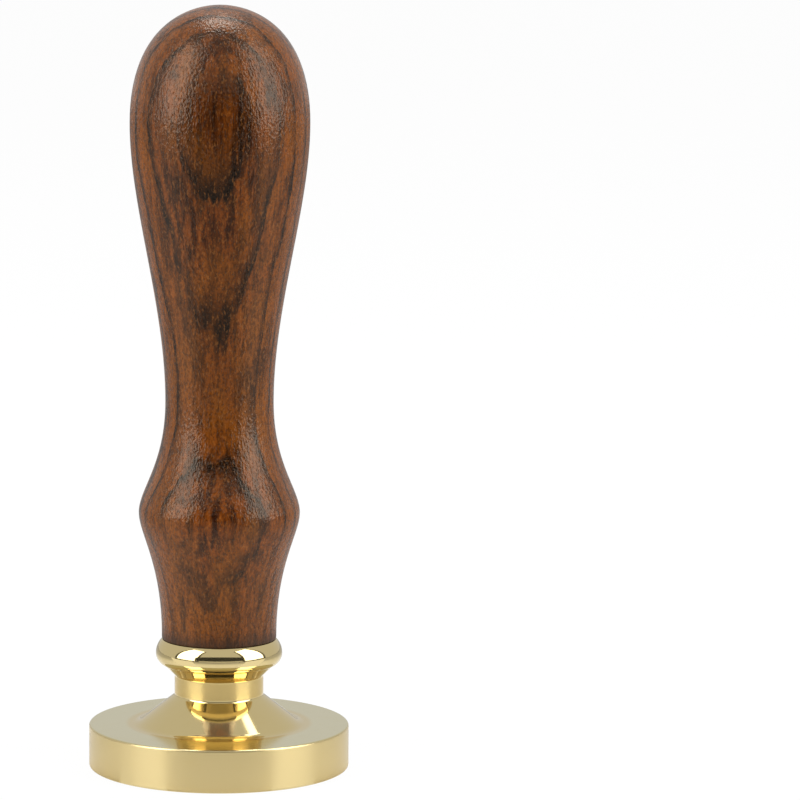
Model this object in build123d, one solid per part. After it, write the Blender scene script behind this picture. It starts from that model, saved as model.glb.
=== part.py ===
from build123d import *
import os
from math import radians, tan

# Wax seal stamp: a turned wooden handle, a brass seal head that carries the die,
# and the steel hanger bolt that the head screws on to. Sizes are in millimetres.
# The origin is the centre of the die's face, and +Z runs up through the handle.

# Seal head, turned from one brass bar. Heights are stacked up from the die's face.
SEAL_DIAMETER = 30.0
DISC_THICKNESS = 4.95
CONE_BASE_DIAMETER = 18.8
CONE_HEIGHT = 3.35
CONE_COVE_RADIUS = 1.8
NECK_DIAMETER = 10.25
NECK_HEIGHT = 2.35
TAPER_REACH = 1.2
TAPER_HEIGHT = 1.2
BEAD_REACH = 0.97
BEAD_LOWER_HEIGHT = 1.37
BEAD_UPPER_HEIGHT = 1.63
SEAT_DIAMETER = 13.1
EDGE_ROUNDING = 0.25
TOOL_NOSE_RADIUS = 0.3

# Double border that is turned into the die's face. Widths are counted inwards from the rim.
RIM_WIDTH = 0.5
OUTER_GROOVE_WIDTH = 0.5
RING_WIDTH = 0.6
INNER_GROOVE_WIDTH = 0.5
GROOVE_DEPTH = 0.6

# Rosette that is cut into the field inside the border
ENGRAVING_DEPTH = 0.9
PETAL_COUNT = 8
PETAL_ROOT_RADIUS = 2.9
PETAL_TIP_RADIUS = 11.6
PETAL_WIDTH = 3.6
RIB_MARGIN = 1.5
RIB_WIDTH = 0.6
SEED_DIAMETER = 1.7
SEED_CIRCLE_RADIUS = 10.4
EYE_DIAMETER = 4.2
PUPIL_DIAMETER = 1.9

# Hanger bolt: machine thread below the seat, plain shank, wood thread and point above it
BOLT_DIAMETER = 6.0
MACHINE_LENGTH = 8.0
BOLT_CHAMFER = 0.8
SHANK_DIAMETER = 5.2
SHANK_LENGTH = 3.0
WOOD_THREAD_LENGTH = 12.0
POINT_LENGTH = 5.0

# Holes for the bolt, in the head and in the handle
BOLT_CLEARANCE = 0.05
HEAD_HOLE_RUNOUT = 1.0
HANDLE_HOLE_RUNOUT = 0.6
DRILL_POINT_ANGLE = 118.0
MOUTH_CHAMFER = 0.4

# Handle: the diameters of its turned outline and the heights between them
END_DIAMETER = 13.2
END_ROUNDING = 0.3
END_TO_HIP = 14.75
HIP_DIAMETER = 18.5
HIP_TO_WAIST = 12.85
WAIST_DIAMETER = 12.4
WAIST_TO_BULB = 31.75
BULB_DIAMETER = 20.5
BULB_TO_TOP = 13.4

# How long each curve of the outline keeps its first and last direction, as a share of its own stretch
HIP_CURVE = (0.60, 0.17)
WAIST_CURVE = (0.20, 0.57)
BULB_CURVE = (0.35, 0.30)
DOME_CURVE = (0.83, 0.35)

# Heights and radii that several pieces share
NECK_FOOT = DISC_THICKNESS + CONE_HEIGHT
NECK_TOP = NECK_FOOT + NECK_HEIGHT
TAPER_TOP = NECK_TOP + TAPER_HEIGHT
TAPER_RADIUS = NECK_DIAMETER / 2 + TAPER_REACH
BEAD_CENTRE = TAPER_TOP + BEAD_LOWER_HEIGHT
SEAT = BEAD_CENTRE + BEAD_UPPER_HEIGHT
BOLT_RADIUS = BOLT_DIAMETER / 2
HOLE_RADIUS = BOLT_RADIUS + BOLT_CLEARANCE


def turned(*outline):
    """Revolve a closed outline of (radius, height) edges about the stamp's axis."""
    return revolve(Plane.XZ * make_face(outline), Axis.Z)


def drilled_hole(depth):
    """Space that a drill leaves under a face at height 0: chamfered mouth, wall and drill point."""
    point_height = HOLE_RADIUS / tan(radians(DRILL_POINT_ANGLE / 2))
    return turned(
        Polyline(
            (0, 0),
            (HOLE_RADIUS + MOUTH_CHAMFER, 0),
            (HOLE_RADIUS, -MOUTH_CHAMFER),
            (HOLE_RADIUS, -depth),
            (0, -depth - point_height),
            close=True,
        )
    )


def head_blank():
    """Disc, cone, neck, taper and bead of the head, before the die and the tapped hole are cut."""
    seal_radius = SEAL_DIAMETER / 2
    neck_radius = NECK_DIAMETER / 2
    seat_edge = (SEAT_DIAMETER / 2, SEAT)
    taper_edge = (TAPER_RADIUS, TAPER_TOP)
    bead_side = (TAPER_RADIUS + BEAD_REACH, BEAD_CENTRE)
    body = FilletPolyline(
        (0, 0),
        (seal_radius, 0),
        (seal_radius, DISC_THICKNESS),
        (CONE_BASE_DIAMETER / 2, DISC_THICKNESS),
        (neck_radius, NECK_FOOT),
        (neck_radius, NECK_TOP),
        taper_edge,
        radius=[EDGE_ROUNDING, EDGE_ROUNDING, CONE_COVE_RADIUS, TOOL_NOSE_RADIUS, TOOL_NOSE_RADIUS],
    )
    lower_bead = TangentArc(bead_side, taper_edge, tangent=(0, -1))
    upper_bead = TangentArc(bead_side, seat_edge, tangent=(0, 1))
    seat_and_axis = Polyline(seat_edge, (0, SEAT), (0, 0))
    return turned(*body.edges(), lower_bead, upper_bead, *seat_and_axis.edges())


def border_groove(outer_radius, width):
    """Turned ring groove, up into the head from the die's face."""
    return extrude(Circle(outer_radius) - Circle(outer_radius - width), GROOVE_DEPTH)


def leaf(inner_radius, outer_radius, width):
    """Pointed leaf of two arcs, lying along +X between two radii."""
    middle = (inner_radius + outer_radius) / 2
    root = (inner_radius, 0)
    tip = (outer_radius, 0)
    near_side = ThreePointArc(root, (middle, -width / 2), tip)
    far_side = ThreePointArc(tip, (middle, width / 2), root)
    return make_face([near_side, far_side])


def rosette():
    """Cut of the die: ribbed petals round an eye, with a seed between each pair of petals."""
    petal = leaf(PETAL_ROOT_RADIUS, PETAL_TIP_RADIUS, PETAL_WIDTH)
    rib = leaf(PETAL_ROOT_RADIUS + RIB_MARGIN, PETAL_TIP_RADIUS - RIB_MARGIN, RIB_WIDTH)
    petals = PolarLocations(0, PETAL_COUNT) * (petal - rib)
    half_step = 180 / PETAL_COUNT
    seeds = PolarLocations(SEED_CIRCLE_RADIUS, PETAL_COUNT, half_step) * Circle(SEED_DIAMETER / 2)
    eye = Circle(EYE_DIAMETER / 2) - Circle(PUPIL_DIAMETER / 2)
    return [extrude(cut, ENGRAVING_DEPTH) for cut in (*petals, *seeds, eye)]


def seal_head():
    """Brass head with its bordered die below and its tapped hole above."""
    outer_groove = SEAL_DIAMETER / 2 - RIM_WIDTH
    inner_groove = outer_groove - OUTER_GROOVE_WIDTH - RING_WIDTH
    cuts = [
        border_groove(outer_groove, OUTER_GROOVE_WIDTH),
        border_groove(inner_groove, INNER_GROOVE_WIDTH),
        Pos(Z=SEAT) * drilled_hole(MACHINE_LENGTH + HEAD_HOLE_RUNOUT),
    ]
    return head_blank() - cuts - rosette()


def hanger_bolt():
    """Steel bolt at the outside diameter of its threads, from its chamfered foot to its wood point."""
    foot = SEAT - MACHINE_LENGTH
    shank_radius = SHANK_DIAMETER / 2
    shoulder = BOLT_RADIUS - shank_radius
    shank_top = SEAT + SHANK_LENGTH
    point_base = shank_top + WOOD_THREAD_LENGTH
    return turned(
        Polyline(
            (0, foot),
            (BOLT_RADIUS - BOLT_CHAMFER, foot),
            (BOLT_RADIUS, foot + BOLT_CHAMFER),
            (BOLT_RADIUS, SEAT),
            (shank_radius, SEAT + shoulder),
            (shank_radius, shank_top - shoulder),
            (BOLT_RADIUS, shank_top),
            (BOLT_RADIUS, point_base),
            (0, point_base + POINT_LENGTH),
            close=True,
        )
    )


def upright_curve(low, high, shares):
    """Curve between two (radius, height) points that leaves and arrives upright."""
    rise = high[1] - low[1]
    leave = (low[0], low[1] + shares[0] * rise)
    arrive = (high[0], high[1] - shares[1] * rise)
    return Bezier(low, leave, arrive, high)


def dome_curve(bulb, top, shares):
    """Curve that leaves the bulb upright and arrives level at the top of the handle."""
    leave = (bulb[0], bulb[1] + shares[0] * (top[1] - bulb[1]))
    arrive = (shares[1] * bulb[0], top[1])
    return Bezier(bulb, leave, arrive, top)


def wood_handle():
    """Handle turned from one billet, with the blind hole for the bolt in its lower end."""
    end = (END_DIAMETER / 2, SEAT)
    hip = (HIP_DIAMETER / 2, SEAT + END_TO_HIP)
    waist = (WAIST_DIAMETER / 2, hip[1] + HIP_TO_WAIST)
    bulb = (BULB_DIAMETER / 2, waist[1] + WAIST_TO_BULB)
    top = (0, bulb[1] + BULB_TO_TOP)
    axis_and_end = Polyline(top, (0, SEAT), end)
    blank = turned(
        *axis_and_end.edges(),
        upright_curve(end, hip, HIP_CURVE),
        upright_curve(hip, waist, WAIST_CURVE),
        upright_curve(waist, bulb, BULB_CURVE),
        dome_curve(bulb, top, DOME_CURVE),
    )
    end_edge = blank.edges().sort_by(Axis.Z)[0]
    blank = fillet(end_edge, END_ROUNDING)
    bolt_depth = SHANK_LENGTH + WOOD_THREAD_LENGTH + POINT_LENGTH
    return blank - Pos(Z=SEAT) * Rot(X=180) * drilled_hole(bolt_depth + HANDLE_HOLE_RUNOUT)


PIECES = {
    "seal_head": seal_head(),
    "hanger_bolt": hanger_bolt(),
    "wood_handle": wood_handle(),
}

os.makedirs("parts", exist_ok=True)
for name, piece in PIECES.items():
    export_step(piece, f"parts/{name}.step")
    size = piece.bounding_box().size
    print(f"{name}: {piece.volume:.1f} mm3, {size.X:.2f} x {size.Y:.2f} x {size.Z:.2f} mm")
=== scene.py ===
# %% [markdown]
# # A wax seal stamp
# The stamp is three pieces on one axis: a turned rosewood handle, a brass head with a die cut
# into its lower face, and a steel hanger bolt that the head screws on to.
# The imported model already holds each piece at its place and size, so the first step is to load
# it and to keep its box. Everything that follows is drawn in the same frame, in metres.

# %% Load the frame
import math

import bmesh
import bpy
from mathutils import Matrix, Vector


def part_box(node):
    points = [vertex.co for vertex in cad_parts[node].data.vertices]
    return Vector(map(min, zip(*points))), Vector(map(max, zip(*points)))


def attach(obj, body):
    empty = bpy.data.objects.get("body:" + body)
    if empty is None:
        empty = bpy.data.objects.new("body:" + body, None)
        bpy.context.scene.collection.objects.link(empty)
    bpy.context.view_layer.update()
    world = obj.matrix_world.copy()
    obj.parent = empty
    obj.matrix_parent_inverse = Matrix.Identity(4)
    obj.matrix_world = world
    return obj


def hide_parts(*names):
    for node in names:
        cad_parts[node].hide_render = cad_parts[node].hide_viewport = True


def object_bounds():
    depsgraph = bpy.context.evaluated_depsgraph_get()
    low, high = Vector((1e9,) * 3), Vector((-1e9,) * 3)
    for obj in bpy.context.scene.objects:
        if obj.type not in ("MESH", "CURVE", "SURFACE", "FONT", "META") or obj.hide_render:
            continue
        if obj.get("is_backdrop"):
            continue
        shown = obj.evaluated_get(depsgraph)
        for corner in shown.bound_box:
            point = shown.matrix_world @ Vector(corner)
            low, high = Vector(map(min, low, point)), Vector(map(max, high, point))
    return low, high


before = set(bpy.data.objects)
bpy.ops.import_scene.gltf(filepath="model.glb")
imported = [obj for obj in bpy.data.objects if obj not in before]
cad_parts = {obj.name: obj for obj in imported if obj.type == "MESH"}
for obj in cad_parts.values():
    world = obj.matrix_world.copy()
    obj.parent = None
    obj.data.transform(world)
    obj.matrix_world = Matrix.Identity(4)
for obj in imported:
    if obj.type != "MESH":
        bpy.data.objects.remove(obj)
cad_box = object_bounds()

MM = 0.001
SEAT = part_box("wood_handle")[0].z / MM
HANDLE_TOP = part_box("wood_handle")[1].z / MM
BOLT_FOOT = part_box("hanger_bolt")[0].z / MM
BOLT_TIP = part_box("hanger_bolt")[1].z / MM
print(f"the handle sits on the head at {SEAT:.2f} mm and ends at {HANDLE_TOP:.2f} mm")

# %% [markdown]
# ## The camera
# A product picture like this is taken from a little above the table with a long lens, so that
# the upright lines stay nearly parallel. The stamp stands left of the middle of the picture:
# moving the camera sideways would show it from another side, so the lens is shifted instead.

# %% Set up the camera
CAMERA_DISTANCE = 454 * MM
CAMERA_ELEVATION = math.radians(7.66)
CAMERA_ROLL = math.radians(0.1)
AIM_HEIGHT = 42.56 * MM
FOCAL_LENGTH = 178.55
SENSOR_WIDTH = 36.0
NEAREST_SEEN = 10 * MM
PICTURE_WIDTH = 800
STAMP_AXIS_PIXEL = 219.5

camera = bpy.data.objects.new("camera", bpy.data.cameras.new("camera"))
bpy.context.scene.collection.objects.link(camera)
camera.data.sensor_width = SENSOR_WIDTH
camera.data.lens = FOCAL_LENGTH
camera.data.shift_x = 0.5 - STAMP_AXIS_PIXEL / PICTURE_WIDTH
camera.data.clip_start = NEAREST_SEEN
back = Vector((0, -math.cos(CAMERA_ELEVATION), math.sin(CAMERA_ELEVATION)))
aim = Matrix.Rotation(math.pi / 2 - CAMERA_ELEVATION, 4, "X") @ Matrix.Rotation(CAMERA_ROLL, 4, "Z")
camera.matrix_world = Matrix.Translation(Vector((0, 0, AIM_HEIGHT)) + back * CAMERA_DISTANCE) @ aim
bpy.context.scene.camera = camera
print("camera stands at", [round(v, 3) for v in camera.matrix_world.translation])

# %% [markdown]
# ## Sums with sockets
# A shader or a Geometry Nodes tree is easier to read as a formula than as a list of links.
# `Wire` wraps one output socket, and each operator on it adds a Math node, so that
# `1 - mask * 0.5` builds the two nodes that it needs. Every other node comes from `Net.node`,
# which takes the node's type, its settings and the values or wires of its sockets.

# %% Define the node helpers
class Wire:
    """An output socket that takes part in Python sums."""

    def __init__(self, net, socket):
        self.net = net
        self.socket = socket

    def math(self, operation, *values):
        return self.net.node("ShaderNodeMath", {"operation": operation}, dict(enumerate(values)))

    def __add__(self, other):
        return self.math("ADD", self, other)

    __radd__ = __add__

    def __sub__(self, other):
        return self.math("SUBTRACT", self, other)

    def __rsub__(self, other):
        return self.math("SUBTRACT", other, self)

    def __mul__(self, other):
        return self.math("MULTIPLY", self, other)

    __rmul__ = __mul__

    def __truediv__(self, other):
        return self.math("DIVIDE", self, other)

    def __rtruediv__(self, other):
        return self.math("DIVIDE", other, self)

    def __mod__(self, other):
        return self.math("FLOORED_MODULO", self, other)

    def __pow__(self, other):
        return self.math("POWER", self, other)

    def __lt__(self, other):
        return self.math("LESS_THAN", self, other)

    def __gt__(self, other):
        return self.math("GREATER_THAN", self, other)

    def least(self, other):
        return self.math("MINIMUM", self, other)

    def most(self, other):
        return self.math("MAXIMUM", self, other)

    def magnitude(self):
        return self.most(0 - self)

    def floor(self):
        return self.math("FLOOR", self)

    def ease(self, low, high):
        """0 below low, 1 above high and a smooth step between them."""
        sockets = {"Value": self, "From Min": low, "From Max": high}
        return self.net.node("ShaderNodeMapRange", {"interpolation_type": "SMOOTHSTEP"}, sockets)


class Net:
    """A node tree that is being built."""

    def __init__(self, tree):
        self.tree = tree

    def node(self, kind, settings=None, sockets=None, out=0):
        """The wire of one output of a new node, whose settings are set before its sockets."""
        node = self.tree.nodes.new(kind)
        for name, value in (settings or {}).items():
            setattr(node, name, value)
        for key, value in (sockets or {}).items():
            socket = self.find(node.inputs, key)
            if isinstance(value, Wire):
                self.tree.links.new(value.socket, socket)
            else:
                socket.default_value = value
        return Wire(self, self.find(node.outputs, out))

    @staticmethod
    def find(sockets, key):
        """The socket of a name or of a number among those that the node shows."""
        shown = [socket for socket in sockets if socket.enabled]
        return shown[key] if isinstance(key, int) else next(s for s in shown if s.name == key)

    def split(self, vector):
        """The three numbers of a vector."""
        first = self.node("ShaderNodeSeparateXYZ", {}, {"Vector": vector})
        return [Wire(self, socket) for socket in first.socket.node.outputs]

    def join(self, x, y, z):
        return self.node("ShaderNodeCombineXYZ", {}, {"X": x, "Y": y, "Z": z})

    def blend(self, share, first, second):
        """First colour where share is 0, second where it is 1."""
        settings = {"data_type": "RGBA", "clamp_factor": True}
        return self.node("ShaderNodeMix", settings, {"Factor": share, "A": first, "B": second})

    def noise(self, vector, detail, roughness=0.5):
        sockets = {"Vector": vector, "Scale": 1.0, "Detail": detail, "Roughness": roughness}
        return self.node("ShaderNodeTexNoise", {}, sockets)


def paint(red, green, blue):
    """A colour as it is read off a screen, 0 to 255, made linear by the sRGB curve."""
    def linear(level):
        share = level / 255
        return share / 12.92 if share <= 0.04045 else ((share + 0.055) / 1.055) ** 2.4
    return (linear(red), linear(green), linear(blue), 1.0)


print("a middle grey of 128 is", round(paint(128, 128, 128)[0], 3), "in linear light")

# %% [markdown]
# ## The studio
# Polished brass has hardly a colour of its own: it shows the room. The walls of this room are
# one even grey. The table is white to the camera and to the metal, and keeps a small share of
# ordinary shading, so that the stamp's soft shadow stays on it. Stronger lamps would whiten the
# table too, but they would burn out the brass first.

# %% Build the table and the walls' light
TABLE_SIZE = 8.0
TABLE_GREY = 0.9
TABLE_GLOW = 0.95
WALL_LEVEL = 0.62
WHITE = (1, 1, 1, 1)

world = bpy.data.worlds.new("studio walls")
bpy.context.scene.world = world
world.use_nodes = True
walls = world.node_tree.nodes["Background"]
walls.inputs["Color"].default_value = WHITE
walls.inputs["Strength"].default_value = WALL_LEVEL
bpy.context.scene.view_settings.view_transform = "Standard"


def stage_card(name, material, *corners):
    """A flat card of the studio, which isn't part of the stamp."""
    mesh = bpy.data.meshes.new(name)
    mesh.from_pydata(corners, [], [range(len(corners))])
    mesh.materials.append(material)
    card = bpy.data.objects.new(name, mesh)
    bpy.context.scene.collection.objects.link(card)
    card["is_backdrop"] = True
    return card


def grey(level):
    """A grey of one linear level."""
    return (level, level, level, 1)


def card_material(name, level):
    """A matt grey material, its net, its shader and the socket of its surface."""
    material = bpy.data.materials.new(name)
    material.use_nodes = True
    nodes = material.node_tree.nodes
    nodes.remove(nodes["Principled BSDF"])
    net = Net(material.node_tree)
    surface = nodes["Material Output"].inputs["Surface"]
    matt = net.node("ShaderNodeBsdfDiffuse", {}, {"Color": grey(level)})
    net.tree.links.new(matt.socket, surface)
    return material, net, matt, surface


def white_table():
    """Matt white that shines by itself to the camera and to mirrored and transmitted rays."""
    material, net, matt, surface = card_material("white table", TABLE_GREY)
    rays = net.node("ShaderNodeLightPath").socket.node.outputs
    seen = Wire(net, rays["Is Camera Ray"])
    for kind in ("Is Glossy Ray", "Is Transmission Ray"):
        seen = seen.most(Wire(net, rays[kind]))
    glow = net.node("ShaderNodeEmission", {}, {"Color": WHITE, "Strength": 1.0})
    mixed = net.node("ShaderNodeMixShader", {}, {0: seen * TABLE_GLOW, 1: matt, 2: glow})
    net.tree.links.new(mixed.socket, surface)
    return material


edge = TABLE_SIZE / 2
table_corners = [(-edge, -edge, 0), (edge, -edge, 0), (edge, edge, 0), (-edge, edge, 0)]
stage_card("table", white_table(), *table_corners)
print("the table is", TABLE_SIZE, "m wide and the walls shine at", WALL_LEVEL)

# %% [markdown]
# ## The lamps
# A tall softbox on each side draws the long sheens on the wood and the lights on bead and neck.
# A bright one overhead makes the patch on the dome, a weak one carries its light on towards the
# back, and a small one on the right makes the light wing on the cone. Each is an area light,
# set by the level of its face and by its size, so that resizing it leaves its reflection as
# bright as before. A point lamp would show in the brass as a dot.

# %% Hang the softboxes
SIDE_LEVEL = 4.0
SIDE_ANGLES = {"left": -62, "right": 68}
SIDE_DISTANCE = 0.5
SIDE_WIDTH = 0.36
SIDE_LOW = 0.05
SIDE_HIGH = 0.95
OVERHEAD_HEIGHT = 0.75
OVERHEAD = {
    "top softbox": {"level": 8.0, "width": 0.34, "depth": 0.2, "place": (0.01, 0.21)},
    "far softbox": {"level": 0.45, "width": 0.34, "depth": 0.57, "place": (-0.03, 0.605)},
    "small softbox": {"level": 2.2, "width": 0.15, "depth": 0.15, "place": (0.3, 0.19)},
}
UP = Vector((0, 0, 1))


def softbox(name, place, width, height, level, target):
    """An area light of an even level that faces a target and stays out of the camera's sight."""
    light = bpy.data.lights.new(name, "AREA")
    light.shape = "RECTANGLE"
    light.size = width
    light.size_y = height
    light.energy = level * math.pi * width * height
    lamp = bpy.data.objects.new(name, light)
    lamp.location = place
    lamp.rotation_euler = (target - place).to_track_quat("-Z", "Y").to_euler()
    lamp.visible_camera = False
    bpy.context.scene.collection.objects.link(lamp)


def from_front(degrees):
    """The level direction at an angle from the camera's side of the stamp, to the right."""
    angle = math.radians(degrees)
    return Vector((math.sin(angle), -math.cos(angle), 0))


side_height = SIDE_HIGH - SIDE_LOW
side_middle = UP * (SIDE_LOW + SIDE_HIGH) / 2
for name, degrees in SIDE_ANGLES.items():
    place = side_middle + from_front(degrees) * SIDE_DISTANCE
    softbox(name + " softbox", place, SIDE_WIDTH, side_height, SIDE_LEVEL, side_middle)
for name, lamp in OVERHEAD.items():
    place = Vector((*lamp["place"], OVERHEAD_HEIGHT))
    softbox(name, place, lamp["width"], lamp["depth"], lamp["level"], place - UP)
print("softboxes hung:", [*SIDE_ANGLES, *OVERHEAD])

# %% [markdown]
# ## The cards
# A mirror needs something dark to show dark. A frame of grey felt behind each side softbox
# gives its reflection an edge. A dark card in front of the stamp, hidden from the camera, draws
# the thin dark line along the bead. The side of the disc mirrors the table, so three sheets of
# grey paper lie round the stamp, and the white gaps between them become the two light bands on
# the disc. The same could be painted on the brass, but then it would not move with the view.

# %% Stand the cards and lay the paper
FRAME_GREY = 0.14
FRAME_WIDTH = 0.06
FRAME_GAP = 0.01
BAND_GREY = 0.05
BAND_WIDTH = 0.4
BAND_LOW = 0.035
BAND_HIGH = 0.1345
BAND_DISTANCE = 0.2
PAPER_NEAR = 0.0145
PAPER_FAR = 3.0
PAPER_LIFT = 0.0001
PAPER_NEAR_GREY = 0.72
PAPER_FAR_GREY = 0.35
PAPER_FADE = (0.015, 0.1)
EDGE_PIECES = 12
# The angles from the front where each sheet's near edge and its far edge start and end
PAPER_ENDS = (((-22, 22.5), (-50, 50)), ((44, 180), (93, 180)), ((-180, -46), (-180, -97)))


def hidden_card(name, material, *corners):
    """A card that shows in the metal but not to the camera."""
    card = stage_card(name, material, *corners)
    card.visible_camera = False
    return card


def upright_card(name, material, middle, half_width, half_height):
    """A hidden card that stands round its middle, with its half width as a level vector."""
    rise = UP * half_height
    low = [middle - half_width - rise, middle + half_width - rise]
    high = [middle + half_width + rise, middle - half_width + rise]
    hidden_card(name, material, *low, *high)


def round_edge(radius, start, end):
    """Points round the stamp from one angle to another, just above the table."""
    step = (end - start) / EDGE_PIECES
    directions = [from_front(start + step * count) for count in range(EDGE_PIECES + 1)]
    return [direction * radius + UP * PAPER_LIFT for direction in directions]


def grey_paper():
    """Matt paper that is pale beside the stamp and darker farther off."""
    material, net, matt, _ = card_material("grey paper", PAPER_NEAR_GREY)
    x, y, _ = net.split(net.node("ShaderNodeTexCoord", {}, {}, out="Object"))
    far_share = ((x * x + y * y) ** 0.5).ease(*PAPER_FADE)
    greys = net.blend(far_share, grey(PAPER_NEAR_GREY), grey(PAPER_FAR_GREY))
    net.tree.links.new(greys.socket, matt.socket.node.inputs["Color"])
    return material


grey_felt = card_material("grey felt", FRAME_GREY)[0]
for name, degrees in SIDE_ANGLES.items():
    outwards = from_front(degrees)
    behind = side_middle + outwards * (SIDE_DISTANCE + FRAME_GAP)
    half_width = outwards.cross(UP) * (SIDE_WIDTH / 2 + FRAME_WIDTH)
    upright_card(name + "_frame", grey_felt, behind, half_width, side_height / 2 + FRAME_WIDTH)

dark_felt = card_material("dark felt", BAND_GREY)[0]
band_middle = from_front(0) * BAND_DISTANCE + UP * (BAND_LOW + BAND_HIGH) / 2
band_half = from_front(90) * BAND_WIDTH / 2
upright_card("dark_band", dark_felt, band_middle, band_half, (BAND_HIGH - BAND_LOW) / 2)

paper = grey_paper()
for number, (near, far) in enumerate(PAPER_ENDS):
    inner = round_edge(PAPER_NEAR, *reversed(near))
    outer = round_edge(PAPER_FAR, *far)
    sheet = hidden_card(f"grey_paper_{number}", paper, *inner, *outer)
    sheet.visible_shadow = False
    sheet.visible_diffuse = False
print(len(PAPER_ENDS), "sheets of paper lie round the stamp, and", len(SIDE_ANGLES) + 1, "cards stand")

# %% [markdown]
# ## Finishes
# Every finish of the stamp is one Principled shader whose colour, roughness and bump vary over
# the piece. UV maps would do for that, but they need a seam somewhere. Object coordinates need
# none, and a change to millimetres lets a pattern be given in the sizes of the real piece.

# %% Define the helpers of the finishes
def finish(name):
    """A new material, its net and its Principled shader."""
    material = bpy.data.materials.new(name)
    material.use_nodes = True
    return material, Net(material.node_tree), material.node_tree.nodes["Principled BSDF"]


def plug(net, shader, **values):
    """Link wires and set plain values on a shader, with _ for the spaces in the sockets' names."""
    for name, value in values.items():
        socket = shader.inputs[name.replace("_", " ")]
        if isinstance(value, Wire):
            net.tree.links.new(value.socket, socket)
        else:
            socket.default_value = value


def millimetres(net):
    """Object coordinates in millimetres, as three numbers."""
    place = net.node("ShaderNodeTexCoord", {}, {}, out="Object")
    sockets = {"Vector": place, "Scale": 1 / MM}
    return net.split(net.node("ShaderNodeVectorMath", {"operation": "SCALE"}, sockets))


print("patterns are given in millimetres, of which a metre holds", round(1 / MM))

# %% [markdown]
# ## Rosewood
# The handle is turned from one billet of rosewood and rubbed with oil. Its growth layers stand
# across the picture's depth, so the lathe cuts them into ovals on the bulb and arches on the
# hip, while they run as straight lines down the sides. An image could be wrapped round the
# handle, but its lines would not meet at the ends. A pattern in the solid, read from Object
# coordinates, is cut by the surface just as the wood is.
# Streaks, clouds, a dark vein and smoky patches lie under the dark late wood of the layers, and
# pores, flecks and a fine grain over it. The fine parts also bump the oiled surface, which
# breaks the lamps up into sparkle. The wood is painted lighter from the front towards the
# sides and back, as painted light from the side lamps, and the vein down the front is partly
# painted shade. The lower end is painted dark, as painted shade in the joint with the brass,
# and it is dull.

# %% Mix the rosewood
LAYER_SPACING = 2.5
LAYER_FRONT = 9.4
LAYER_LEAN = 0.1
LAYER_SWAY = 2.4
LAYER_WAVER = 1.4
HIP_FADE = (24.0, 34.0)
# Painted light: the depth from the front over which the wood turns lighter, for the side lamps
SIDE_LIGHT_SPAN = (-9.0, -2.5)
VEIN_WAVER = 5.0
VEIN_WIDTH = (0.6, 3.4)
# Partly painted shade: the vein darkens only the front of the handle
FRONT_VEIN_AND_SHADE_DEPTH = (-5.0, -1.0)
VEIN_FOOT = (36.0, 44.0)
# Painted shade: the heights over which the lower end of the handle is painted dark, at its joint with
# the brass
JOINT_SHADE_HEIGHT = (SEAT - 0.2, SEAT + 2.2)
GRAIN_DEPTH = 0.04 * MM
OIL_GLOSS = 0.42
OIL_TINT = (1.0, 0.86, 0.7, 1.0)
# Waves to a millimetre across and along the grain, and a shift that keeps the noises apart
WOOD_NOISES = {
    "sway": {"across": 0.09, "along": 0.03, "shift": 0.0, "detail": 2.0, "roughness": 0.5},
    "waver": {"across": 0.5, "along": 0.11, "shift": 7.0, "detail": 3.0, "roughness": 0.5},
    "ragged": {"across": 1.1, "along": 0.2, "shift": 21.0, "detail": 4.0, "roughness": 0.65},
    "cloud": {"across": 0.22, "along": 0.09, "shift": 11.0, "detail": 2.0, "roughness": 0.5},
    "smoke": {"across": 0.4, "along": 0.1, "shift": 17.0, "detail": 4.0, "roughness": 0.65},
    "streak": {"across": 1.5, "along": 0.08, "shift": 3.0, "detail": 4.0, "roughness": 0.6},
    "pore": {"across": 6.0, "along": 1.2, "shift": 5.0, "detail": 1.0, "roughness": 0.5},
    "fleck": {"across": 4.4, "along": 1.8, "shift": 9.0, "detail": 2.0, "roughness": 0.5},
    "grain": {"across": 3.6, "along": 2.2, "shift": 15.0, "detail": 1.0, "roughness": 0.6},
}
WOOD_TINTS = {
    "dark streak": paint(46, 17, 2),
    "light streak": paint(116, 58, 13),
    "painted side light": paint(126, 71, 22),
    "cloud": paint(126, 70, 12),
    # partly a dark vein, partly painted shade on the front
    "vein": paint(48, 16, 1),
    "smoke": paint(28, 11, 2),
    "late wood": paint(11, 4, 1),
    "grain": paint(30, 12, 3),
    "pore": paint(20, 7, 3),
    "fleck": paint(150, 95, 44),
    # painted shade in the joint with the brass
    "seam": paint(26, 10, 2),
}


def wood_noise(net, place, kind):
    """One of the wood's noises, drawn out along the grain."""
    x, y, z = place
    waves = WOOD_NOISES[kind]
    across = waves["across"]
    stretched = net.join(x * across + waves["shift"], y * across, z * waves["along"])
    return net.noise(stretched, waves["detail"], waves["roughness"])


def growth_layers(net, place):
    """The share of dark late wood, and the noise that makes the layers waver."""
    x, y, z = place
    sway = wood_noise(net, place, "sway") - 0.5
    waver = wood_noise(net, place, "waver") - 0.5
    ragged = wood_noise(net, place, "ragged").ease(0.35, 0.6)
    depth = y + x * LAYER_LEAN + LAYER_FRONT + sway * LAYER_SWAY + waver * LAYER_WAVER
    layer = depth / LAYER_SPACING
    phase = layer % 1.0
    strength = net.noise(net.join(layer.floor() * 3.7, z * 0.05, x * 0.08), 2.0).ease(0.25, 0.5)
    late = phase.ease(0.58, 0.93) * (1 - phase.ease(0.93, 1.0)) * strength
    return late * (0.6 + 0.4 * ragged) * (0.7 + 0.3 * z.ease(*HIP_FADE)), waver


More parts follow.
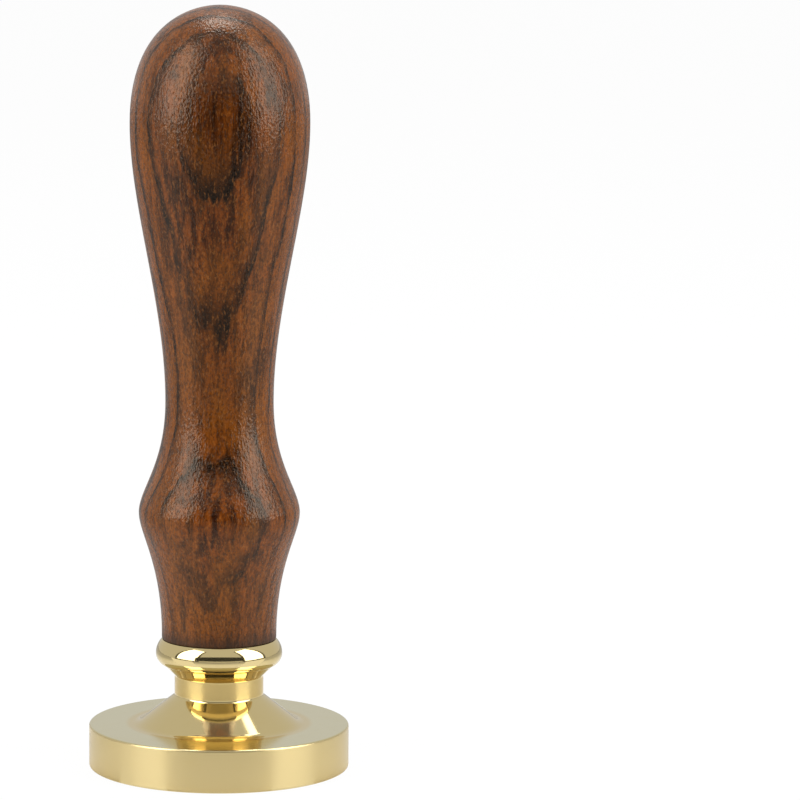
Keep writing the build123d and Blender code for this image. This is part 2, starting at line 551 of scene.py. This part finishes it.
def brown_wood(net, place, streak):
    """The colour of the wood without its fine grain, with painted light on its sides."""
    x, y, z = place
    late, waver = growth_layers(net, place)
    cloud = wood_noise(net, place, "cloud").ease(0.42, 0.66)
    smoke = wood_noise(net, place, "smoke").ease(0.53, 0.66)
    aside = (x + waver * VEIN_WAVER).magnitude()
    # Partly a dark vein of the wood and partly painted shade: it darkens only the front, above the hip
    vein = (1 - aside.ease(*VEIN_WIDTH)) * (1 - y.ease(*FRONT_VEIN_AND_SHADE_DEPTH)) * z.ease(*VEIN_FOOT)
    streaks = streak.ease(0.36, 0.64)
    wood = net.blend(streaks, WOOD_TINTS["dark streak"], WOOD_TINTS["light streak"])
    # Painted light: lighter from the front towards the sides and back, where the side lamps shine
    wood = net.blend(y.ease(*SIDE_LIGHT_SPAN) * 0.65, wood, WOOD_TINTS["painted side light"])
    wood = net.blend(cloud * 0.5, wood, WOOD_TINTS["cloud"])
    wood = net.blend(vein * 0.25, wood, WOOD_TINTS["vein"])
    wood = net.blend(smoke * 0.6, wood, WOOD_TINTS["smoke"])
    return net.blend(late, wood, WOOD_TINTS["late wood"])


def rosewood():
    material, net, shader = finish("oiled rosewood")
    place = millimetres(net)
    streak = wood_noise(net, place, "streak")
    pores = wood_noise(net, place, "pore").ease(0.57, 0.67)
    fleck = wood_noise(net, place, "fleck").ease(0.54, 0.7)
    grain = wood_noise(net, place, "grain")
    # Painted shade: the lower end of the handle is painted dark where it meets the brass, and made dull
    seam = 1 - place[2].ease(*JOINT_SHADE_HEIGHT)
    wood = brown_wood(net, place, streak)
    wood = net.blend(grain.ease(0.46, 0.66) * 0.45, wood, WOOD_TINTS["grain"])
    wood = net.blend(pores * 0.45, wood, WOOD_TINTS["pore"])
    wood = net.blend(fleck * 0.28, wood, WOOD_TINTS["fleck"])
    wood = net.blend(seam * 0.8, wood, WOOD_TINTS["seam"])
    rough = 0.13 + 0.08 * streak + 0.12 * pores + 0.3 * seam
    height = streak * 0.3 - pores * 0.3 + fleck * 0.2 + grain * 2.6
    relief = {"Strength": 0.72, "Distance": GRAIN_DEPTH, "Height": height}
    plug(net, shader, Base_Color=wood, Roughness=rough, Normal=net.node("ShaderNodeBump", {}, relief))
    plug(net, shader, Specular_IOR_Level=OIL_GLOSS, Specular_Tint=OIL_TINT)
    return material


ROSEWOOD = rosewood()
print("rosewood made with", len(ROSEWOOD.node_tree.nodes), "nodes")

# %% [markdown]
# ## Brass and steel
# The head was turned and polished: bead, taper and cone are nearly mirrors and the neck is a
# little duller, while the side of the disc keeps the fine marks of the tool, which run round it
# and smear a reflection up and down. Such marks are too fine to model, so the Anisotropic
# setting stands for them, turned a quarter so that the smear crosses the marks. Neck and taper
# are painted a deeper gold than the rest, a painted reflection of the brass round them; the flat
# faces of the disc are painted paler, a painted highlight; and the side of the disc is painted
# darker, as painted shade. The die's field is left satin, and the bolt is zinc-plated steel.

# %% Mix the brass and the steel
SEAL_RADIUS = 15.0
DISC_THICKNESS = 4.95
NECK_FOOT = 8.3
NECK_TOP = 10.65
CONE_RADIUS = 9.4
TAPER_TOP = 11.85
BRASS = (0.80, 0.645, 0.32, 1.0)
# Painted reflection: the deeper gold of neck and taper
PAINTED_REFLECTION_BRASS = (0.76, 0.56, 0.22, 1.0)
# Painted highlight: the paler gold of the disc's flat faces
PAINTED_HIGHLIGHT_BRASS = (0.80, 0.73, 0.45, 1.0)
# Painted shade: the darker gold of the disc's side
PAINTED_SHADE_BRASS = (0.62, 0.49, 0.24, 1.0)
TARNISHED_BRASS = (0.74, 0.57, 0.23, 1.0)
CLOUDED_BRASS = (0.78, 0.66, 0.42, 1.0)
ENGRAVED_BRASS = (0.45, 0.30, 0.10, 1.0)
ZINC = (0.62, 0.63, 0.64, 1.0)
YELLOWED_ZINC = (0.70, 0.68, 0.63, 1.0)
TURNING_DEPTH = 0.01 * MM
SATIN_DEPTH = 0.02 * MM
ACROSS_THE_MARKS = 0.25


def polished_brass():
    material, net, shader = finish("turned brass")
    x, y, z = millimetres(net)
    radius = (x * x + y * y) ** 0.5
    rings = net.noise(net.join(radius * 6.0 + z * 9.0, 0.0, 0.0), 4.0, 0.7)
    handled = net.noise(net.join(x * 0.35, y * 0.35, z * 0.35), 3.0, 0.6)
    side = radius.ease(SEAL_RADIUS - 0.15, SEAL_RADIUS - 0.02)
    upper = z.ease(DISC_THICKNESS + 0.05, DISC_THICKNESS + 0.3)
    neck = z.ease(NECK_FOOT + 0.1, NECK_FOOT + 0.3) * (1 - z.ease(NECK_TOP - 0.25, NECK_TOP - 0.1))
    # face: where the flat faces of the disc get the painted highlight
    face = radius.ease(CONE_RADIUS + 0.8, CONE_RADIUS + 1.6) * (1 - side) * (1 - upper)
    # taper: where neck and taper get the painted reflection
    taper = z.ease(NECK_FOOT, NECK_FOOT + 0.4) * (1 - z.ease(TAPER_TOP, TAPER_TOP + 0.6))
    tarnish = handled.ease(0.45, 0.8) * 0.12
    # Painted reflection: neck and taper a deeper gold, for the brass round them that they mirror
    colour = net.blend(taper * 0.8, BRASS, PAINTED_REFLECTION_BRASS)
    # Painted highlight: the flat faces of the disc are painted paler
    colour = net.blend(face, colour, PAINTED_HIGHLIGHT_BRASS)
    # Painted shade: the side of the disc is painted darker
    colour = net.blend(side * 0.45, colour, PAINTED_SHADE_BRASS)
    colour = net.blend(tarnish, colour, TARNISHED_BRASS)
    rough = 0.1 - upper * 0.06 + side * 0.18 + neck * 0.2 + rings * 0.03 + handled * 0.02
    relief = {"Strength": 0.06, "Distance": TURNING_DEPTH, "Height": rings}
    plug(net, shader, Base_Color=colour, Roughness=rough, Normal=net.node("ShaderNodeBump", {}, relief))
    plug(net, shader, Metallic=1.0, Anisotropic=0.7, Anisotropic_Rotation=ACROSS_THE_MARKS)
    return material


def satin_brass():
    material, net, shader = finish("satin die brass")
    x, y, z = millimetres(net)
    grain = net.noise(net.join(x * 1.2 + y * 0.9, x * 9.0 - y * 12.0, z * 9.0), 3.0, 0.6)
    cloud = net.noise(net.join(x * 0.3, y * 0.3, z * 0.3), 2.0)
    floor = z.ease(0.3, 0.6)
    colour = net.blend(cloud.ease(0.3, 0.7) * 0.4, BRASS, CLOUDED_BRASS)
    colour = net.blend(floor * 0.45, colour, ENGRAVED_BRASS)
    rough = 0.28 + grain * 0.12 + floor * 0.12
    relief = {"Strength": 0.15, "Distance": SATIN_DEPTH, "Height": grain}
    plug(net, shader, Base_Color=colour, Roughness=rough, Normal=net.node("ShaderNodeBump", {}, relief))
    plug(net, shader, Metallic=1.0)
    return material


def zinc_steel():
    material, net, shader = finish("zinc-plated steel")
    x, y, z = millimetres(net)
    cloud = net.noise(net.join(x * 1.1, y * 1.1, z * 0.6), 3.0)
    colour = net.blend(cloud.ease(0.35, 0.7), ZINC, YELLOWED_ZINC)
    plug(net, shader, Base_Color=colour, Roughness=0.22 + cloud * 0.18, Metallic=1.0)
    return material


TURNED_BRASS = polished_brass()
DIE_BRASS = satin_brass()
ZINC_STEEL = zinc_steel()
print("finishes:", [m.name for m in (ROSEWOOD, TURNED_BRASS, DIE_BRASS, ZINC_STEEL)])

# %% [markdown]
# ## A lathe in Geometry Nodes
# Handle and head are both turned, so one tree serves them: it takes half a section, drawn as a
# Bezier spline of radius and height, and turns it about the axis. The Screw modifier could do
# that too, but a tree can name its sizes, weld the seam and the poles and mark the sharp edges
# in one place. It lays a grid with a column for each step round the axis and a row for each
# point of the section, and moves each point of the grid to its place.

# %% Build the lathe
WELD = 0.001 * MM
SHARP_EDGE = math.radians(32)


def geometry_tree(name, **inputs):
    """A new tree with named inputs, its net and the wires of its inputs."""
    tree = bpy.data.node_groups.new(name, "GeometryNodeTree")
    tree.interface.new_socket("Geometry", in_out="OUTPUT", socket_type="NodeSocketGeometry")
    for label, kind in inputs.items():
        tree.interface.new_socket(label, in_out="INPUT", socket_type="NodeSocket" + kind)
    group = tree.nodes.new("NodeGroupInput")
    net = Net(tree)
    return net, {label: Wire(net, group.outputs[label]) for label in inputs}


def close_tree(net, shape, material):
    """Weld, shade and paint the shape, and hand it to the tree's output."""
    shape = net.node("GeometryNodeMergeByDistance", {}, {"Geometry": shape, "Distance": WELD})
    shape = net.node("GeometryNodeSetShadeSmooth", {"domain": "FACE"}, {"Geometry": shape})
    angle = net.node("GeometryNodeInputMeshEdgeAngle", {}, {}, out="Unsigned Angle")
    sharp = {"Geometry": shape, "Selection": angle > SHARP_EDGE, "Shade Smooth": False}
    shape = net.node("GeometryNodeSetShadeSmooth", {"domain": "EDGE"}, sharp)
    shape = net.node("GeometryNodeRealizeInstances", {}, {"Geometry": shape})
    shape = net.node("GeometryNodeSetMaterial", {}, {"Geometry": shape, "Material": material})
    end = net.tree.nodes.new("NodeGroupOutput")
    net.tree.links.new(shape.socket, end.inputs["Geometry"])
    return net.tree


def ring_grid(net, steps, rows):
    """A grid with steps + 1 columns, and the wires of each point's column and row."""
    size = {"Vertices X": steps + 1, "Vertices Y": rows}
    grid = net.node("GeometryNodeMeshGrid", {}, size)
    index = net.node("GeometryNodeInputIndex")
    column = ((index + 0.5) / rows).floor()
    return grid, column, index - column * rows


def turn_about_axis(net, grid, radius, angle, height):
    """Move each point of the grid to a radius, an angle and a height."""
    cosine = angle.math("COSINE", angle)
    sine = angle.math("SINE", angle)
    place = net.join(radius * cosine, radius * sine, height)
    return net.node("GeometryNodeSetPosition", {}, {"Geometry": grid, "Position": place})


def lathe_tree():
    net, given = geometry_tree("lathe", Section="Object", Steps="Int", Material="Material")
    section = net.node("GeometryNodeObjectInfo", {}, {"Object": given["Section"]}, out="Geometry")
    points = net.node("GeometryNodeCurveToMesh", {}, {"Curve": section})
    rows = net.node("GeometryNodeAttributeDomainSize", {}, {"Geometry": points}, out="Point Count")
    grid, column, row = ring_grid(net, given["Steps"], rows)
    position = net.node("GeometryNodeInputPosition")
    sampled = {"Geometry": points, "Value": position, "Index": row}
    point = net.node("GeometryNodeSampleIndex", {"data_type": "FLOAT_VECTOR"}, sampled)
    radius, _, height = net.split(point)
    shape = turn_about_axis(net, grid, radius, column * math.tau / given["Steps"], height)
    return close_tree(net, shape, given["Material"])


LATHE = lathe_tree()
print("the lathe has", len(LATHE.nodes), "nodes")

# %% [markdown]
# ## Drawing a section
# A section is straight runs, round corners and long free curves, and a Bezier spline holds all
# three. `Section` is a pen: it goes from point to point in millimetres and keeps the handles.
# Each straight run gets a knot close to both of its ends. Those extra rows keep the shading of
# a flat face flat right up to its rounded edge, which matters on a mirror-like metal.

# %% Define the pen
HOLD = 0.04
ROUND_OFF = 1e-6


class Section:
    """Half a section as a chain of Bezier knots: a place, a handle before it and one after it."""

    def __init__(self, radius, height):
        self.knots = [[Vector((radius, height)), None, None]]

    def here(self):
        return self.knots[-1][0]

    def line(self, radius, height):
        start = self.here()
        end = Vector((radius, height))
        length = (end - start).length
        if length > 4 * HOLD:
            for share in (HOLD / length, 1 - HOLD / length):
                self.knots.append([start.lerp(end, share), None, None])
        self.knots.append([end, None, None])
        return self

    def curve(self, leave, arrive, end):
        self.knots[-1][2] = Vector(leave)
        self.knots.append([Vector(end), Vector(arrive), None])
        return self

    def arc(self, centre, sweep):
        """Go round a centre by an angle in radians, in pieces of a quarter turn at most."""
        centre = Vector(centre)
        pieces = math.ceil(abs(sweep) / (math.pi / 2) - ROUND_OFF)
        step = sweep / pieces
        reach = 4 / 3 * math.tan(step / 4)
        for _ in range(pieces):
            arm = self.here() - centre
            swung = Matrix.Rotation(step, 2) @ arm
            leave = self.here() + arm.orthogonal() * reach
            arrive = centre + swung - swung.orthogonal() * reach
            self.curve(leave, arrive, centre + swung)
        return self

    def rounded(self, *corners):
        """Straight runs through (radius, height, rounding) corners, the last of them bare."""
        for corner, following in zip(corners, corners[1:]):
            point = Vector(corner[:2])
            before = (self.here() - point).normalized()
            after = (Vector(following[:2]) - point).normalized()
            half_angle = before.angle(after) / 2
            start = point + before * corner[2] / math.tan(half_angle)
            centre = point + (before + after).normalized() * corner[2] / math.sin(half_angle)
            side = math.copysign(1, before.cross(after))
            self.line(*start).arc(centre, -side * (math.pi - 2 * half_angle))
        return self.line(*corners[-1][:2])

    def spline(self, name, resolution):
        """The section as a curve object in the XZ plane, in metres."""
        curve = bpy.data.curves.new(name, "CURVE")
        curve.dimensions = "3D"
        spline = curve.splines.new("BEZIER")
        spline.bezier_points.add(len(self.knots) - 1)
        spline.resolution_u = resolution
        for knot, (place, before, after) in zip(spline.bezier_points, self.knots):
            knot.co = self.lifted(place)
            knot.handle_left_type = "FREE" if before else "VECTOR"
            knot.handle_right_type = "FREE" if after else "VECTOR"
            knot.handle_left = self.lifted(before or place)
            knot.handle_right = self.lifted(after or place)
        section = bpy.data.objects.new(name, curve)
        bpy.context.scene.collection.objects.link(section)
        return section

    @staticmethod
    def lifted(point):
        return Vector((point.x, 0, point.y)) * MM


quarter = Section(1, 0).arc((0, 0), math.pi / 2)
print("a quarter circle takes", len(quarter.knots), "knots")

# %% [markdown]
# ## From a tree to a piece
# A tree needs an object to run on, so it gets an empty one. What it makes could stay a live
# modifier, but the frame and the export want plain meshes, so the result is copied into one and
# the empty object goes. A finished piece is welded once more, rides on its body and stands in
# for its CAD node.

# %% Define the machine that runs a tree
def grow(name, tree, **values):
    """Run a tree on an empty object, and give back what it makes as a plain mesh."""
    host = bpy.data.objects.new(name, bpy.data.meshes.new(name))
    bpy.context.scene.collection.objects.link(host)
    modifier = host.modifiers.new(name, "NODES")
    modifier.node_group = tree
    for item in tree.interface.items_tree:
        if item.in_out == "INPUT":
            modifier[item.identifier] = values[item.name]
    depsgraph = bpy.context.evaluated_depsgraph_get()
    mesh = bpy.data.meshes.new_from_object(host.evaluated_get(depsgraph), depsgraph=depsgraph)
    host.modifiers.clear()
    bpy.data.objects.remove(host)
    return mesh


def turn(name, section, resolution, steps, material):
    """Turn a section on the lathe."""
    outline = section.spline(name + "_section", resolution)
    mesh = grow(name, LATHE, Section=outline, Steps=steps, Material=material)
    bpy.data.objects.remove(outline)
    return mesh


def piece(name, body, node, slot, *meshes):
    """One finished piece from its welded meshes, in place of a CAD node."""
    shape = bmesh.new()
    materials = []
    for mesh in meshes:
        start = len(shape.faces)
        shape.from_mesh(mesh)
        shape.faces.ensure_lookup_table()
        for face in shape.faces[start:]:
            face.material_index = len(materials)
        materials.append(next(material for material in mesh.materials if material))
    bmesh.ops.remove_doubles(shape, verts=shape.verts, dist=WELD)
    bmesh.ops.recalc_face_normals(shape, faces=shape.faces)
    open_edges = sum(not edge.is_manifold for edge in shape.edges)
    finished = bpy.data.meshes.new(name)
    shape.to_mesh(finished)
    volume = shape.calc_volume() / MM**3
    shape.free()
    for material in materials:
        finished.materials.append(material)
    made = bpy.data.objects.new(name, finished)
    bpy.context.scene.collection.objects.link(made)
    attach(made, body)
    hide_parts(node)
    faces = len(finished.polygons)
    print(f"{name}: {faces} faces, {open_edges} open edges, {volume:.0f} mm3")
    return made


print("pieces are welded within", round(WELD / MM, 6), "mm")

# %% [markdown]
# ## The handle
# The turner's outline swells from the end to the hip, draws in to the waist, swells again to
# the bulb and closes in a dome. Between those places the outline runs upright, so each stretch
# is one cubic curve whose handles point straight up or down. A spline through many measured
# points could follow the outline too, but it would ripple, and a glossy finish shows that. The
# lower end is flat, with a rounded edge and the blind hole for the bolt.

# %% Turn the handle
END_RADIUS = 6.6
END_ROUNDING = 0.3
HIP = Vector((9.25, SEAT + 14.75))
WAIST = Vector((6.2, HIP.y + 12.85))
BULB = Vector((10.25, WAIST.y + 31.75))
HIP_CURVE = (0.60, 0.17)
WAIST_CURVE = (0.20, 0.57)
BULB_CURVE = (0.35, 0.30)
DOME_CURVE = (0.83, 0.35)
HOLE_RADIUS = 3.05
HOLE_CHAMFER = 0.4
HOLE_RUNOUT = 0.6
DRILL_POINT_ANGLE = math.radians(118)
DRILL_POINT = HOLE_RADIUS / math.tan(DRILL_POINT_ANGLE / 2)
HANDLE_STEPS = 128
CURVE_PIECES = 32


def upright(section, start, end, shares):
    """A free curve to an end that leaves and arrives upright, as it would from a start."""
    rise = end.y - start.y
    leave = (start.x, start.y + shares[0] * rise)
    section.curve(leave, (end.x, end.y - shares[1] * rise), end)


hole_end = BOLT_TIP + HOLE_RUNOUT
handle = Section(0, hole_end + DRILL_POINT)
handle.line(HOLE_RADIUS, hole_end)
handle.line(HOLE_RADIUS, SEAT + HOLE_CHAMFER)
handle.line(HOLE_RADIUS + HOLE_CHAMFER, SEAT)
handle.line(END_RADIUS - END_ROUNDING, SEAT)
handle.arc((END_RADIUS - END_ROUNDING, SEAT + END_ROUNDING), math.pi / 2)
upright(handle, Vector((END_RADIUS, SEAT)), HIP, HIP_CURVE)
upright(handle, HIP, WAIST, WAIST_CURVE)
upright(handle, WAIST, BULB, BULB_CURVE)
dome_leave = (BULB.x, BULB.y + DOME_CURVE[0] * (HANDLE_TOP - BULB.y))
handle.curve(dome_leave, (DOME_CURVE[1] * BULB.x, HANDLE_TOP), (0, HANDLE_TOP))
handle_mesh = turn("handle", handle, CURVE_PIECES, HANDLE_STEPS, ROSEWOOD)
piece("turned_handle", "handle", "wood_handle", "rosewood", handle_mesh)

# %% [markdown]
# ## The die
# The die is cut into the head's lower face: eight ribbed petals round an eye, with a seed
# between each pair of petals. It could be cut with Boolean modifiers, which leave ragged
# shading. Here the tree draws every outline as a curve and fills the curves twice: once with
# the field's circle, which gives the face that prints, and once alone, which gives the floors,
# and those are pushed up into the brass with their walls. The two sheets share their outlines,
# so welding closes them.

# %% Build the die's tree
FIELD_RADIUS = 12.9
DIE_SIZES = {
    "Petals": 8,
    "Root": 2.9 * MM,
    "Tip": 11.6 * MM,
    "Width": 3.6 * MM,
    "Rib Margin": 1.5 * MM,
    "Rib Width": 0.6 * MM,
    "Seed Radius": 0.85 * MM,
    "Seed Circle": 10.4 * MM,
    "Eye Radius": 2.1 * MM,
    "Pupil Radius": 0.95 * MM,
    "Depth": 0.9 * MM,
}
HEAD_STEPS = 160
OUTLINE_STEPS = 32


def circle(net, radius, steps):
    return net.node("GeometryNodeCurvePrimitiveCircle", {}, {"Resolution": steps, "Radius": radius})


def leaf(net, inner, outer, width):
    """A pointed leaf of two equal arcs along +X, bent out of a circle."""
    x, y, _ = net.split(net.node("GeometryNodeInputPosition"))
    half = (outer - inner) * 0.5
    bend = (half * half + width * width * 0.25) / width
    along = half * x
    bulge = (bend * bend - along * along).most(0.0) ** 0.5 - (bend - width * 0.5)
    place = net.join((inner + outer) * 0.5 + along, bulge.most(0.0) * y.math("SIGN", y), 0.0)
    outline = circle(net, 1.0, OUTLINE_STEPS)
    return net.node("GeometryNodeSetPosition", {}, {"Geometry": outline, "Position": place})


def round_the_axis(net, shape, count, offset):
    """Copies of a shape, evenly turned about the axis, the first one by an offset of a step."""
    points = net.node("GeometryNodePoints", {}, {"Count": count})
    index = net.node("GeometryNodeInputIndex")
    turned = net.join(0.0, 0.0, (index + offset) * math.tau / count)
    copies = {"Points": points, "Instance": shape, "Rotation": turned}
    copies = net.node("GeometryNodeInstanceOnPoints", {}, copies)
    return net.node("GeometryNodeRealizeInstances", {}, {"Geometry": copies})


def joined(net, shapes):
    whole = net.node("GeometryNodeJoinGeometry")
    for shape in shapes:
        net.tree.links.new(shape.socket, whole.socket.node.inputs["Geometry"])
    return whole


def die_tree():
    kinds = {label: "Int" if label == "Petals" else "Float" for label in DIE_SIZES}
    net, given = geometry_tree("die", Field="Float", Material="Material", **kinds)
    root = given["Root"]
    tip = given["Tip"]
    margin = given["Rib Margin"]
    petal = leaf(net, root, tip, given["Width"])
    rib = leaf(net, root + margin, tip - margin, given["Rib Width"])
    seed = circle(net, given["Seed Radius"], OUTLINE_STEPS)
    seed_place = net.join(given["Seed Circle"], 0.0, 0.0)
    seed = net.node("GeometryNodeTransform", {}, {"Geometry": seed, "Translation": seed_place})
    cuts = [
        round_the_axis(net, petal, given["Petals"], 0.0),
        round_the_axis(net, rib, given["Petals"], 0.0),
        round_the_axis(net, seed, given["Petals"], 0.5),
        circle(net, given["Eye Radius"], OUTLINE_STEPS),
        circle(net, given["Pupil Radius"], OUTLINE_STEPS),
    ]
    outlines = joined(net, cuts)
    border = circle(net, given["Field"], HEAD_STEPS)
    field = net.node("GeometryNodeFillCurve", {}, {"Curve": joined(net, [outlines, border])})
    floors = net.node("GeometryNodeFillCurve", {}, {"Curve": outlines})
    push = {"Mesh": floors, "Offset": UP, "Offset Scale": given["Depth"], "Individual": False}
    floors = net.node("GeometryNodeExtrudeMesh", {"mode": "FACES"}, push)
    return close_tree(net, joined(net, [field, floors]), given["Material"])


DIE = die_tree()
die_mesh = grow("die", DIE, Field=FIELD_RADIUS * MM, Material=DIE_BRASS, **DIE_SIZES)
print("the die has", len(die_mesh.polygons), "faces")

# %% [markdown]
# ## The brass head
# The head is turned from one bar. A stack of rings would show seams that it doesn't have, so
# rim, ring and grooves of the border, disc, cone, neck, taper, bead and tapped hole are one
# section, which starts where the die's field ends. The lathe's steps and the field's circle
# have the same points, so the two meshes weld into one closed piece.

# %% Turn the head
GROOVE_DEPTH = 0.6
BORDER_RADII = (FIELD_RADIUS, 13.4, 14.0, 14.5)
EDGE_ROUNDING = 0.25
TOOL_NOSE = 0.3
COVE = 1.8
NECK_RADIUS = 5.125
TAPER_RADIUS = 6.325
BEAD_RADIUS = 7.295
BEAD_HEIGHT = 13.22
SEAT_RADIUS = 6.55
HEAD_HOLE_RUNOUT = 1.0
ARC_PIECES = 8

head = Section(BORDER_RADII[0], 0)
for groove_start, groove_end in (BORDER_RADII[:2], BORDER_RADII[2:]):
    head.line(groove_start, 0)
    head.line(groove_start, GROOVE_DEPTH)
    head.line(groove_end, GROOVE_DEPTH)
    head.line(groove_end, 0)
head.rounded(
    (SEAL_RADIUS, 0, EDGE_ROUNDING),
    (SEAL_RADIUS, DISC_THICKNESS, EDGE_ROUNDING),
    (CONE_RADIUS, DISC_THICKNESS, COVE),
    (NECK_RADIUS, NECK_FOOT, TOOL_NOSE),
    (NECK_RADIUS, NECK_TOP, TOOL_NOSE),
    (TAPER_RADIUS, TAPER_TOP),
)
for reach, rise in ((TAPER_RADIUS, BEAD_HEIGHT - TAPER_TOP), (SEAT_RADIUS, SEAT - BEAD_HEIGHT)):
    depth = BEAD_RADIUS - reach
    size = (depth**2 + rise**2) / (2 * depth)
    head.arc((BEAD_RADIUS - size, BEAD_HEIGHT), math.asin(rise / size))
head.line(HOLE_RADIUS + HOLE_CHAMFER, SEAT)
head.line(HOLE_RADIUS, SEAT - HOLE_CHAMFER)
head_hole_end = BOLT_FOOT - HEAD_HOLE_RUNOUT
head.line(HOLE_RADIUS, head_hole_end)
head.line(0, head_hole_end - DRILL_POINT)
head_mesh = turn("head", head, ARC_PIECES, HEAD_STEPS, TURNED_BRASS)
piece("brass_head", "head", "seal_head", "brass", head_mesh, die_mesh)

# %% [markdown]
# ## The hanger bolt
# The bolt has a machine thread for the head at its foot, a plain shank, and a coarse wood
# thread with a point for the handle. A thread is a ring pattern that climbs one pitch in a
# turn. On a straight grid its crests would come out as steps, so the rows of this grid climb
# with the thread: each row starts where the row one turn before it ends.

# %% Cut the threads
MACHINE_PITCH = 1.0
WOOD_PITCH = 2.2
BOLT_SIZES = {
    "Radius": 3.0 * MM,
    "Chamfer": 0.8 * MM,
    "Seat": SEAT * MM,
    "Foot": BOLT_FOOT * MM,
    "Tip": BOLT_TIP * MM,
    "Shank Radius": 2.6 * MM,
    "Shank Length": 3.0 * MM,
    "Point Length": 5.0 * MM,
    "Machine Pitch": MACHINE_PITCH * MM,
    "Machine Depth": 0.58 * MM,
    "Wood Pitch": WOOD_PITCH * MM,
    "Wood Depth": 0.85 * MM,
    "Runout": 0.9 * MM,
}
BOLT_STEPS = 48
ROWS_PER_TURN = 8
CREST_ROWS = 1.5
DEEPEST_SHARE = 0.45


def bolt_tree():
    kinds = {label: "Float" for label in BOLT_SIZES}
    kinds |= {"Steps": "Int", "Turns": "Int", "Material": "Material"}
    net, given = geometry_tree("hanger bolt", **kinds)
    steps = given["Steps"]
    foot = given["Foot"]
    tip = given["Tip"]
    seat = given["Seat"]
    radius = given["Radius"]
    shank_top = seat + given["Shank Length"]
    rows = (given["Turns"] + 2) * ROWS_PER_TURN + 2
    grid, column, row = ring_grid(net, steps, rows)
    turns = (row - 1 - ROWS_PER_TURN) / ROWS_PER_TURN + column / steps
    machine_turns = (seat - foot) / given["Machine Pitch"]
    below = turns.most(0.0).least(machine_turns) * given["Machine Pitch"]
    above = (turns - machine_turns).most(0.0) * given["Wood Pitch"]
    height = (foot + below + above).least(tip)

    chamfered = radius - given["Chamfer"] + (height - foot)
    inside = (height - seat).least(shank_top - height).most(0.0)
    waisted = (radius - inside).most(given["Shank Radius"])
    pointed = (tip - height) * radius / given["Point Length"]
    outer = radius.least(chamfered).least(waisted).least(pointed)
    machine = (seat - height).least(height - foot) / given["Runout"]
    machine = machine.most(0.0).least(1.0) * given["Machine Depth"]
    wood = ((height - shank_top) / given["Runout"]).most(0.0).least(1.0) * given["Wood Depth"]
    depth = (machine + wood).least(outer * DEEPEST_SHARE)
    past_crest = (row % ROWS_PER_TURN - ROWS_PER_TURN / 2).magnitude()
    sunk = ((past_crest - CREST_ROWS) / (ROWS_PER_TURN / 2 - CREST_ROWS)).most(0.0)
    closed = (row > 0.5) * (row < rows - 1.5)
    threaded = (outer - depth * sunk) * closed
    shape = turn_about_axis(net, grid, threaded, column * math.tau / steps, height)
    return close_tree(net, shape, given["Material"])


BOLT = bolt_tree()
bolt_turns = math.ceil((SEAT - BOLT_FOOT) / MACHINE_PITCH + (BOLT_TIP - SEAT) / WOOD_PITCH)
bolt_values = {"Steps": BOLT_STEPS, "Turns": bolt_turns, "Material": ZINC_STEEL, **BOLT_SIZES}
bolt_mesh = grow("bolt", BOLT, **bolt_values)
piece("threaded_bolt", "bolt", "hanger_bolt", "steel", bolt_mesh)

# %% [markdown]
# ## The boxes
# Both boxes, of the model and of the dressed stamp, are printed side by side before the
# frame is closed. The dressed stamp may not outgrow the model that it stands for.

# %% Print the boxes and finish
visual_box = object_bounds()
for label, (low, high) in (("CAD", cad_box), ("visual", visual_box)):
    print(label, "box in mm:", [round((b - a) / MM, 2) for a, b in zip(low, high)])
